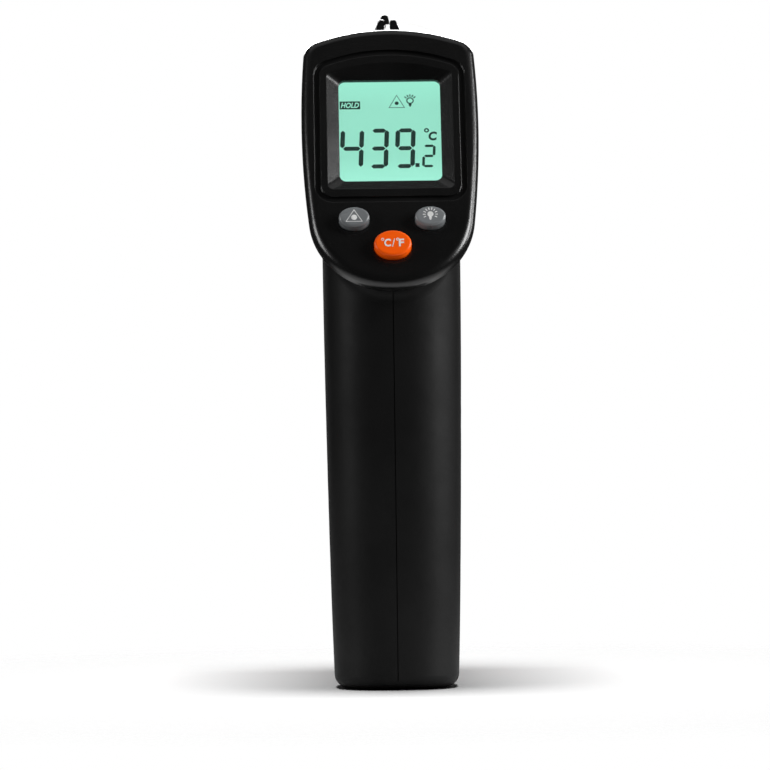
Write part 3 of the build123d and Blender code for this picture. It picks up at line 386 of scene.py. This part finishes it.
def clear_glass(name, colour, rough=0.03, index=1.45):
    """Clear or tinted moulded window with faint smears."""
    material, tree, shader, where = start_material(name)
    smears = effect(tree, POLISH, where, Patches_per_metre=120.0)
    spread = add_node(tree, "ShaderNodeMapRange", To_Min=rough, To_Max=rough * 2.5)
    tree.links.new(smears.outputs["Polish"], spread.inputs["Value"])
    tree.links.new(spread.outputs["Result"], shader.inputs["Roughness"])
    shader.inputs["Base Color"].default_value = (*colour, 1.0)
    shader.inputs["Transmission Weight"].default_value = 1.0
    shader.inputs["IOR"].default_value = index
    return material


def circuit_board(name):
    """Green solder mask over copper tracks, with rows of tinned pads."""
    material, tree, shader, where = start_material(name)
    tracks = add_node(
        tree, "ShaderNodeTexBrick", Scale=260.0, Mortar_Size=0.035, Brick_Width=0.9, Row_Height=0.3
    )
    tree.links.new(where, tracks.inputs["Vector"])
    pads = add_node(tree, "ShaderNodeTexVoronoi", {"feature": "F1"}, Scale=420.0, Randomness=0.25)
    tree.links.new(where, pads.inputs["Vector"])
    mask = blend_colours(tree, tracks.outputs["Fac"], (0.012, 0.11, 0.035), (0.05, 0.26, 0.08))
    pad = ramp(tree, pads.outputs["Distance"], 0.2, 0.16)
    tree.links.new(blend_colours(tree, pad, mask, (0.62, 0.6, 0.55)), shader.inputs["Base Color"])
    tree.links.new(ramp(tree, pads.outputs["Distance"], -0.3, 0.7), shader.inputs["Roughness"])
    bump(tree, shader, tracks.outputs["Fac"], 0.00003)
    return material


print("finish makers ready")

# %% [markdown]
# The black housing
# The housing is black plastic with a satin grain. Under soft light it reads almost black, and only
# its rounded edges and long sides show a grey sheen. The front bezel has a slightly coarser grain
# than the grip, and more painted glints.

# %% Black plastics
BLACK = (0.0018, 0.0018, 0.0018)
# The number after the grain depth is the painted glint: how far a few grains are lifted to a paler base
# colour.
grip_black = moulded_plastic("grip_black", BLACK, (0.5, 0.6), 5200.0, 0.000014, 0.02, 0.02, 0.14)
bezel_black = moulded_plastic("bezel_black", BLACK, (0.2, 0.27), 3000.0, 0.000014, 0.12, 0.02, 0.5, 0.00025)
nose_black = moulded_plastic("nose_black", BLACK, (0.4, 0.5), 3600.0, 0.00003, 0.05, 0.02, 0.4, 0.00025)
inner_black = moulded_plastic("inner_black", (0.02, 0.02, 0.021), (0.45, 0.6), 4000.0, 0.00001, 0.05)

# %% Coloured plastics and rubber
key_grey = moulded_plastic("key_grey", (0.135, 0.143, 0.148), (0.25, 0.33), 7000.0, 0.000006, 0.04, 0.03)
signal_orange = moulded_plastic(
    "signal_orange", (0.98, 0.093, 0.001), (0.28, 0.36), 7000.0, 0.000006, 0.0, 0.0, 0.2
)
trigger_orange = moulded_plastic(
    "trigger_orange", (0.9, 0.085, 0.003), (0.36, 0.46), 4500.0, 0.00001, 0.05, 0.03, 0.35
)
holder_white = moulded_plastic("holder_white", (0.62, 0.61, 0.58), (0.4, 0.5), 4000.0, 0.00001)
mat_grey = moulded_plastic("mat_grey", (0.42, 0.42, 0.40), (0.6, 0.75), 2500.0, 0.00001)
strip_pink = moulded_plastic("strip_pink", (0.5, 0.2, 0.22), (0.6, 0.75), 2500.0, 0.00001)

# %% Metals, glass and boards
spring_steel = metal("spring_steel", (0.55, 0.55, 0.54), 0.28, 2500.0)
pin_steel = metal("pin_steel", (0.6, 0.6, 0.6), 0.2, 1800.0)
screw_black = metal("screw_black", (0.09, 0.09, 0.1), 0.38, 1500.0)
plated_contact = metal("plated_contact", (0.72, 0.69, 0.62), 0.25, 1200.0)
turned_brass = metal("turned_brass", (0.78, 0.56, 0.24), 0.26, 1600.0)
black_anodised = metal("black_anodised", (0.035, 0.035, 0.038), 0.34, 2200.0)
sensor_cap = metal("sensor_cap", (0.76, 0.7, 0.5), 0.22, 1400.0)
window_clear = clear_glass("window_clear", (0.93, 0.98, 0.96))
laser_red = clear_glass("laser_red", (0.7, 0.08, 0.06))
board_green = circuit_board("board_green")


# %% [markdown]
# The cells' printed sleeve
# A dry cell is a steel can in a printed plastic sleeve, bare at both ends. A band of a second
# colour marks the positive end. The pattern follows the height along the cell, so no unwrapping is
# needed: the colour changes with the Z coordinate.

# %% Cell sleeves
def cell_sleeve(name, node, positive_up):
    """Dark sleeve with a copper-coloured band at the positive end and bare metal tips."""
    low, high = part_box(node)
    material, tree, shader, where = start_material(name)
    split = tree.nodes.new("ShaderNodeSeparateXYZ")
    tree.links.new(where, split.inputs["Vector"])
    start, end = (low[2], high[2]) if positive_up else (high[2], low[2])
    along = add_node(tree, "ShaderNodeMapRange", From_Min=start, From_Max=end)
    tree.links.new(split.outputs["Z"], along.inputs["Value"])
    colours = tree.nodes.new("ShaderNodeValToRGB")
    colours.color_ramp.interpolation = "CONSTANT"
    bare, dark, copper = (0.6, 0.6, 0.6), (0.02, 0.02, 0.022), (0.62, 0.27, 0.09)
    stops = [(0.0, bare), (0.012, dark), (0.7, copper), (0.972, bare)]
    for _ in range(len(stops) - 2):
        colours.color_ramp.elements.new(0.5)
    for element, (at, colour) in zip(colours.color_ramp.elements, stops):
        element.position = at
        element.color = (*colour, 1.0)
    tree.links.new(along.outputs["Result"], colours.inputs["Fac"])
    tree.links.new(colours.outputs["Color"], shader.inputs["Base Color"])
    scuffs = effect(tree, POLISH, where, Patches_per_metre=160.0)
    tree.links.new(ramp(tree, scuffs.outputs["Polish"], -1.2, 2.6), shader.inputs["Roughness"])
    shader.inputs["Metallic"].default_value = 0.6
    return material


sleeve_left = cell_sleeve("sleeve_left", "battery_left", True)
sleeve_right = cell_sleeve("sleeve_right", "battery_right", False)


# %% [markdown]
# Leads
# The leads are soft coloured insulation. It is slightly glossy and has faint pull marks.

# %% Lead insulation
def insulation(name, colour):
    """Soft insulation on a thin lead."""
    return moulded_plastic(name, colour, (0.32, 0.42), 6000.0, 0.000004)


LEADS = {
    "battery_wire_red": insulation("lead_red", (0.5, 0.015, 0.012)),
    "battery_wire_black": insulation("lead_black", (0.015, 0.015, 0.015)),
    "sensor_wires": insulation("lead_yellow", (0.65, 0.5, 0.04)),
    "laser_wires": insulation("lead_blue", (0.03, 0.1, 0.4)),
    "switch_wires": insulation("lead_white", (0.6, 0.6, 0.57)),
}

# %% Give every piece its finish
FINISHES = {
    "left_shell": grip_black,
    "right_shell": grip_black,
    "battery_door": grip_black,
    "display_bezel": bezel_black,
    "nose_ring": nose_black,
    "display_window": window_clear,
    "laser_window": laser_red,
    "lcd_glass": inner_black,
    "lcd_backlight": holder_white,
    "lcd_contact": strip_pink,
    "lcd_holder": holder_white,
    "main_board": board_green,
    "key_board": board_green,
    "sensor_board": board_green,
    "laser_board": board_green,
    "trigger_board": board_green,
    "board_components": inner_black,
    "board_header": inner_black,
    "board_screws": pin_steel,
    "case_screws": screw_black,
    "keypad_mat": mat_grey,
    "laser_button": key_grey,
    "backlight_button": key_grey,
    "units_button": signal_orange,
    "sensor_barrel": black_anodised,
    "lens_ring": black_anodised,
    "thermopile_can": sensor_cap,
    "laser_module": turned_brass,
    "trigger": trigger_orange,
    "trigger_pin": pin_steel,
    "door_hinge_pin": pin_steel,
    "trigger_spring": spring_steel,
    "trigger_switch": inner_black,
    "battery_left": sleeve_left,
    "battery_right": sleeve_right,
    "contact_positive": plated_contact,
    "contact_negative": plated_contact,
    "contact_link": plated_contact,
    "contact_springs": plated_contact,
    **LEADS,
}

# %% [markdown]
# The lens
# The lens lets heat through but hardly any light, so it looks like a dark mirror with a bronze
# cast. A dark metallic base under a thin clear coat gives that.

# %% Lens coating
lens_coating, lens_tree, lens_shader, lens_where = start_material("lens_coating")
lens_smears = effect(lens_tree, POLISH, lens_where, Patches_per_metre=300.0)
lens_tint = blend_colours(lens_tree, lens_smears.outputs["Polish"], (0.10, 0.075, 0.06), (0.13, 0.10, 0.085))
lens_tree.links.new(lens_tint, lens_shader.inputs["Base Color"])
lens_rough = ramp(lens_tree, lens_smears.outputs["Polish"], -1.0, 8.0)
lens_tree.links.new(lens_rough, lens_shader.inputs["Roughness"])
lens_shader.inputs["Metallic"].default_value = 0.8
lens_shader.inputs["Coat Weight"].default_value = 0.6
FINISHES["ir_lens"] = lens_coating

for node, piece in frame["nodes"].items():
    for place in piece.material_slots:
        place.material = FINISHES[node]
print("finished pieces:", len(FINISHES), "of", len(frame["nodes"]))

# %% [markdown]
# The lit display
# Behind the window a liquid-crystal cell lies on a lit diffuser. What shows is an even pale
# blue-green field, a little brighter near its top and bottom edges, with near-black figures. The
# field is a thin plate with rounded corners, just in front of the glass, and it glows.

# %% Display field
display = outer_plane("lcd_glass")
FIELD_W = 25.6 * MM
FIELD_H = 29.4 * MM
FIELD_R = 1.3 * MM
FIELD_GAP = 0.05 * MM
FIELD_THICK = 0.08 * MM

field_glow, field_tree, field_shader, field_where = start_material("field_glow")
field_parts = field_tree.nodes.new("ShaderNodeSeparateXYZ")
field_tree.links.new(field_where, field_parts.inputs["Vector"])
field_height = FIELD_H * UP.z
field_rise = ramp(
    field_tree,
    field_parts.outputs["Z"],
    display.translation.z - field_height / 2,
    display.translation.z + field_height / 2,
)
field_colours = field_tree.nodes.new("ShaderNodeValToRGB")
for _ in range(2):
    field_colours.color_ramp.elements.new(0.5)
FIELD_FOOT, FIELD_MIDDLE, FIELD_HEAD = (0.42, 0.96, 0.77), (0.35, 0.81, 0.64), (0.38, 0.90, 0.71)
field_stops = [(0.06, FIELD_FOOT), (0.3, FIELD_MIDDLE), (0.75, FIELD_MIDDLE), (0.96, FIELD_HEAD)]
for element, (at, colour) in zip(field_colours.color_ramp.elements, field_stops):
    element.position = at
    element.color = (*colour, 1.0)
field_tree.links.new(field_rise, field_colours.inputs["Fac"])
field_tree.links.new(field_colours.outputs["Color"], field_shader.inputs["Emission Color"])
field_shader.inputs["Emission Strength"].default_value = 1.0
field_shader.inputs["Base Color"].default_value = (0.02, 0.05, 0.04, 1.0)
field_shader.inputs["Roughness"].default_value = 0.4


def rounded_rectangle(width, height, radius, count=6):
    """Points round a rectangle with rounded corners."""
    points = []
    for corner, (sx, sy) in enumerate(((1, 1), (-1, 1), (-1, -1), (1, -1))):
        for i in range(count + 1):
            turn = math.radians(90 * corner + 90 * i / count)
            x = sx * (width / 2 - radius) + radius * math.cos(turn)
            y = sy * (height / 2 - radius) + radius * math.sin(turn)
            points.append((x, y))
    return points


bm = bmesh.new()
add_outline(bm, rounded_rectangle(FIELD_W, FIELD_H, FIELD_R), FIELD_THICK)
field_plane = display @ Matrix.Translation((0, 0, FIELD_GAP))
finish_piece("display_field", bm, field_plane, "housing", field_glow)

# %% [markdown]
# Figures
# Each figure is built from seven bars with pointed ends. A table says which bars a figure lights.
# The bars are letters a to g, from the top bar round to the middle one.

# %% Seven-bar figures
BARS = {"2": "abged", "3": "abgcd", "4": "fgbc", "9": "abcdfg"}
BAR_GAP = 0.16  # gap at each end of a bar, as a share of its width
FIGURE_LEAN = 0.045


def bar_outline(start, end, width, gap):
    """A bar with pointed ends from start to end, shortened by gap."""
    along = Vector(end) - Vector(start)
    length = along.length - 2 * gap
    along.normalize()
    side = Vector((-along.y, along.x)) * width / 2
    tip = along * width / 2
    a = Vector(start) + along * gap
    b = a + along * length
    return [tuple(p) for p in (a, a + tip + side, b - tip + side, b, b - tip - side, a + tip - side)]


def add_figure(bm, figure, left, bottom, width, height, bar, thick):
    """One leaning figure of seven bars in the box given by its left, bottom, width and height."""
    x0, x1 = left + bar / 2, left + width - bar / 2
    y0, y2 = bottom + bar / 2, bottom + height - bar / 2
    y1 = (y0 + y2) / 2
    foot, head = y0 - 0.25 * bar, y2 + 0.25 * bar
    ends = {
        "a": ((x0, y2), (x1, y2)), "b": ((x1, head), (x1, y1)), "c": ((x1, y1), (x1, foot)),
        "d": ((x0, y0), (x1, y0)), "e": ((x0, y1), (x0, foot)), "f": ((x0, head), (x0, y1)),
        "g": ((x0, y1), (x1, y1)),
    }
    for name in BARS[figure]:
        outline = bar_outline(*ends[name], bar, BAR_GAP * bar)
        add_outline(bm, [(x + FIGURE_LEAN * (y - y1), y) for x, y in outline], thick)


INK = 0.03 * MM
figures = [
    ("4", -11.6, -9.0, 5.45, 10.45, 1.05),
    ("3", -4.95, -9.05, 4.55, 10.5, 1.05),
    ("9", 1.1, -9.05, 4.65, 10.5, 1.05),
    ("2", 7.35, -8.9, 3.0, 5.95, 0.62),
]
bm = bmesh.new()
for figure, left, bottom, width, height, bar in figures:
    add_figure(bm, figure, left * MM, bottom * MM, width * MM, height * MM, bar * MM, INK)
point = [(5.7, -8.8), (6.65, -8.8), (6.65, -7.8), (5.7, -7.8)]
add_outline(bm, [(x * MM, y * MM) for x, y in point], INK)

# %% [markdown]
# Ink of the display
# The lit crystal is a dark grey-green that lets a little light through, so it is not quite black.

# %% Figures, units and symbols on the field
ink_dark, ink_tree, ink_shader, ink_where = start_material("display_ink")
ink_smears = effect(ink_tree, POLISH, ink_where, Patches_per_metre=400.0)
ink_tint = blend_colours(ink_tree, ink_smears.outputs["Polish"], (0.013, 0.031, 0.026), (0.017, 0.041, 0.034))
ink_tree.links.new(ink_tint, ink_shader.inputs["Emission Color"])
ink_shader.inputs["Emission Strength"].default_value = 1.0
ink_shader.inputs["Base Color"].default_value = (0.002, 0.003, 0.003, 1.0)
ink_shader.inputs["Roughness"].default_value = 0.5
ink_plane = field_plane @ Matrix.Translation((0, 0, FIELD_THICK))
add_text(bm, "C", (9.85 * MM, -0.65 * MM), (1.95 * MM, 2.35 * MM), INK, 0.045, 0.1)
add_line(bm, ring_points((8.45 * MM, 0.88 * MM), 0.42 * MM), 0.34 * MM, INK, closed=True)
finish_piece("display_figures", bm, ink_plane, "housing", ink_dark)


def add_laser_symbol(bm, middle, size, dot, line, thick):
    """A triangle that fills a box, with a dot in it."""
    x, y = middle
    half, rise = size[0] / 2, size[1] / 2
    add_line(bm, [(x - half, y - rise), (x + half, y - rise), (x, y + rise)], line, thick, closed=True)
    add_outline(bm, ring_points((x, y - 0.3 * rise), dot), 0.6 * thick)


def add_lamp_symbol(bm, centre, radius, rays, spread, reach, line, thick, filled):
    """A bulb on a short screw base, with rays fanned over its top; reach is where they run."""
    x, y = centre
    if filled:
        add_outline(bm, ring_points(centre, radius), 0.6 * thick)
    else:
        add_line(bm, ring_points(centre, radius), line, thick, closed=True)
    for level, half in ((1.15, 0.45), (1.55, 0.45), (1.95, 0.25)):
        y_base = y - level * radius
        add_line(bm, [(x - half * radius, y_base), (x + half * radius, y_base)], 1.2 * line, thick)
    for i in range(rays):
        turn = math.radians(90 - spread / 2 + spread * i / (rays - 1))
        ends = [(x + r * math.cos(turn), y + r * math.sin(turn)) for r in reach]
        add_line(bm, ends, line, thick)


bm = bmesh.new()
add_laser_symbol(bm, (1.7 * MM, 8.68 * MM), (3.55 * MM, 3.3 * MM), 0.46 * MM, 0.27 * MM, INK)
add_lamp_symbol(bm, (4.8 * MM, 8.87 * MM), 0.74 * MM, 5, 100, (1.05 * MM, 1.65 * MM), 0.28 * MM, INK, False)
hold_box = [(x - 9.15 * MM, y + 7.76 * MM) for x, y in rounded_rectangle(4.75 * MM, 2.1 * MM, 0.12 * MM, 2)]
add_outline(bm, hold_box, INK)
finish_piece("display_symbols", bm, ink_plane, "housing", ink_dark)

bm = bmesh.new()
add_text(bm, "HOLD", (-9.15 * MM, 7.76 * MM), (4.25 * MM, 1.42 * MM), INK, 0.03, 0.25)
hold_plane = ink_plane @ Matrix.Translation((0, 0, INK))
finish_piece("display_hold_word", bm, hold_plane, "housing", field_glow)

# %% [markdown]
# Printed keys
# The keys carry white pad-printed symbols: a laser mark, a lamp, and the two temperature units.
# Pad printing lies a few hundredths of a millimetre proud and is slightly uneven, so the ink has
# its own soft mottling.

# %% White print
print_white, white_tree, white_shader, white_where = start_material("print_white")
white_mottle = effect(white_tree, POLISH, white_where, Patches_per_metre=900.0)
white_tint = blend_colours(white_tree, white_mottle.outputs["Polish"], (0.68, 0.68, 0.67), (0.85, 0.85, 0.84))
white_tree.links.new(white_tint, white_shader.inputs["Base Color"])
white_shader.inputs["Roughness"].default_value = 0.42
PRINT = 0.05 * MM
SUNK = Matrix.Translation((0, 0, -0.01 * MM))

bm = bmesh.new()
add_laser_symbol(bm, (0, 0.15 * MM), (3.7 * MM, 3.0 * MM), 0.68 * MM, 0.34 * MM, PRINT)
key_plane = outer_plane("laser_button") @ SUNK
finish_piece("laser_key_print", bm, key_plane, "laser_key", print_white)

bm = bmesh.new()
add_lamp_symbol(bm, (0, 0.3 * MM), 0.7 * MM, 10, 236, (1.12 * MM, 1.72 * MM), 0.27 * MM, PRINT, True)
key_plane = outer_plane("backlight_button") @ SUNK
finish_piece("backlight_key_print", bm, key_plane, "backlight_key", print_white)

bm = bmesh.new()
add_text(bm, "C", (-1.2 * MM, -0.1 * MM), (1.55 * MM, 2.0 * MM), PRINT, 0.03)
add_text(bm, "/", (0.15 * MM, -0.1 * MM), (0.7 * MM, 2.1 * MM), PRINT)
add_text(bm, "F", (1.95 * MM, -0.1 * MM), (1.2 * MM, 1.95 * MM), PRINT, 0.03)
for x in (-2.3, 1.1):
    add_line(bm, ring_points((x * MM, 0.8 * MM), 0.27 * MM, 16), 0.2 * MM, PRINT, closed=True)
key_plane = outer_plane("units_button") @ SUNK
finish_piece("units_key_print", bm, key_plane, "units_key", print_white)

# %% [markdown]
# Floor
# The thermometer stands on a plain pale floor that fades into the white round it, so there is no
# horizon behind the grip. A radial gradient makes the floor transparent towards its edge.

# %% Pale floor
FLOOR_R = 0.2
FLOOR_GAP = 0.1 * MM
FLOOR_SOLID = 0.4 * FLOOR_R  # the floor is opaque out to here, then fades to nothing at FLOOR_R
bm = bmesh.new()
bmesh.ops.create_circle(bm, cap_ends=True, segments=64, radius=FLOOR_R)
bmesh.ops.translate(bm, verts=bm.verts, vec=(0, 0, cad_box[0][2] - FLOOR_GAP))
floor_mesh = bpy.data.meshes.new("floor")
bm.to_mesh(floor_mesh)
bm.free()
floor = bpy.data.objects.new("floor", floor_mesh)
bpy.context.scene.collection.objects.link(floor)
floor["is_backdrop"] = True

floor_paint, floor_tree, floor_shader, floor_where = start_material("floor_paint")
floor_shader.inputs["Base Color"].default_value = (0.9, 0.9, 0.9, 1.0)
floor_shader.inputs["Roughness"].default_value = 0.7
floor_shader.inputs["Specular IOR Level"].default_value = 0.2
distance = floor_tree.nodes.new("ShaderNodeVectorMath")
distance.operation = "LENGTH"
floor_tree.links.new(floor_where, distance.inputs[0])
fade = ramp(floor_tree, distance.outputs["Value"], FLOOR_R, FLOOR_SOLID)
floor_tree.links.new(fade, floor_shader.inputs["Alpha"])
floor_mesh.materials.append(floor_paint)

# %% [markdown]
# Light
# Tall soft boxes stand at the sides, the right one stronger, so that the long sides of the grip and
# the rounded rims each carry a soft sheen. One far behind whitens the roof of the barrel, and a weak
# one overhead lifts the top edges. A sixth lights only the floor, so that the shadow under the foot
# is soft and round and the side lights throw none. The room is white to the eye but lights the piece
# only gently, so black plastic stays black.

# %% Soft boxes and surroundings
centre = Vector([(a + b) / 2 for a, b in zip(*cad_box)])
pieces_only = bpy.data.collections.new("pieces_only")
floor_only = bpy.data.collections.new("floor_only")
floor_only.objects.link(floor)
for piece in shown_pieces():
    pieces_only.objects.link(piece)


def soft_box(name, place, size, power, lit=pieces_only):
    """A rectangular area light that faces the middle of the piece and lights one collection."""
    light = bpy.data.lights.new(name, "AREA")
    light.shape = "RECTANGLE"
    light.size, light.size_y = size
    light.energy = power
    lamp = bpy.data.objects.new(name, light)
    lamp.location = place
    lamp.rotation_euler = (centre - Vector(place)).to_track_quat("-Z", "Y").to_euler()
    lamp.visible_camera = False
    lamp.light_linking.receiver_collection = lit
    bpy.context.scene.collection.objects.link(lamp)


soft_box("light_right", (0.78, -0.3, 0.42), (0.3, 0.5), 9.0)
soft_box("light_right_rim", (0.8, 0.1, 0.36), (0.15, 0.5), 2.6)
soft_box("light_left", (-0.78, -0.25, 0.36), (0.3, 0.5), 4.0)
soft_box("light_far", (0.0, 1.1, 0.62), (1.0, 0.5), 30.0)
soft_box("light_above", (0.0, 0.0, 0.8), (0.9, 0.5), 0.7)
soft_box("light_floor", (0.0, 0.0, 0.8), (0.3, 0.3), 8.0, floor_only)

world = bpy.data.worlds.new("surroundings")
world.use_nodes = True
bpy.context.scene.world = world
sky = world.node_tree
seen = sky.nodes["Background"]
seen.inputs["Color"].default_value = (1.0, 1.0, 1.0, 1.0)
seen.inputs["Strength"].default_value = 1.0
felt = sky.nodes.new("ShaderNodeBackground")
felt.inputs["Color"].default_value = (1.0, 1.0, 1.0, 1.0)
felt.inputs["Strength"].default_value = 0.03
choice = sky.nodes.new("ShaderNodeMixShader")
path = sky.nodes.new("ShaderNodeLightPath")
sky.links.new(path.outputs["Is Camera Ray"], choice.inputs["Fac"])
sky.links.new(felt.outputs["Background"], choice.inputs[1])
sky.links.new(seen.outputs["Background"], choice.inputs[2])
sky.links.new(choice.outputs["Shader"], sky.nodes["World Output"].inputs["Surface"])

# %% [markdown]
# Camera
# The view is level, from the user's side, a long way off through a long lens. The thermometer
# stands a little right of the middle, turned and tilted by under a degree.

# %% Level camera behind the display
CAMERA_DISTANCE = 1.2
VIEW_WIDTH = 0.1759
SENSOR_WIDTH = 36.0  # in millimetres, as a camera states it
TURN = math.radians(0.86)
ROLL = math.radians(0.75)
target = Vector((-0.00212, -0.016, 0.0697))
forward = Vector((math.sin(TURN), math.cos(TURN), 0.0))
level_right = Vector((math.cos(TURN), -math.sin(TURN), 0.0))
vertical = Vector((0.0, 0.0, 1.0))
right = level_right * math.cos(ROLL) - vertical * math.sin(ROLL)
above = level_right * math.sin(ROLL) + vertical * math.cos(ROLL)
camera_data = bpy.data.cameras.new("camera")
camera_data.sensor_width = SENSOR_WIDTH
camera_data.lens = SENSOR_WIDTH * CAMERA_DISTANCE / VIEW_WIDTH
camera_data.clip_start = 0.01
camera = bpy.data.objects.new("camera", camera_data)
camera_turn = Matrix((right, above, -forward)).transposed().to_4x4()
camera.matrix_world = Matrix.Translation(target - forward * CAMERA_DISTANCE) @ camera_turn
bpy.context.scene.collection.objects.link(camera)
bpy.context.scene.camera = camera
bpy.context.scene.view_settings.view_transform = "Standard"
print("lens", round(camera_data.lens), "mm")
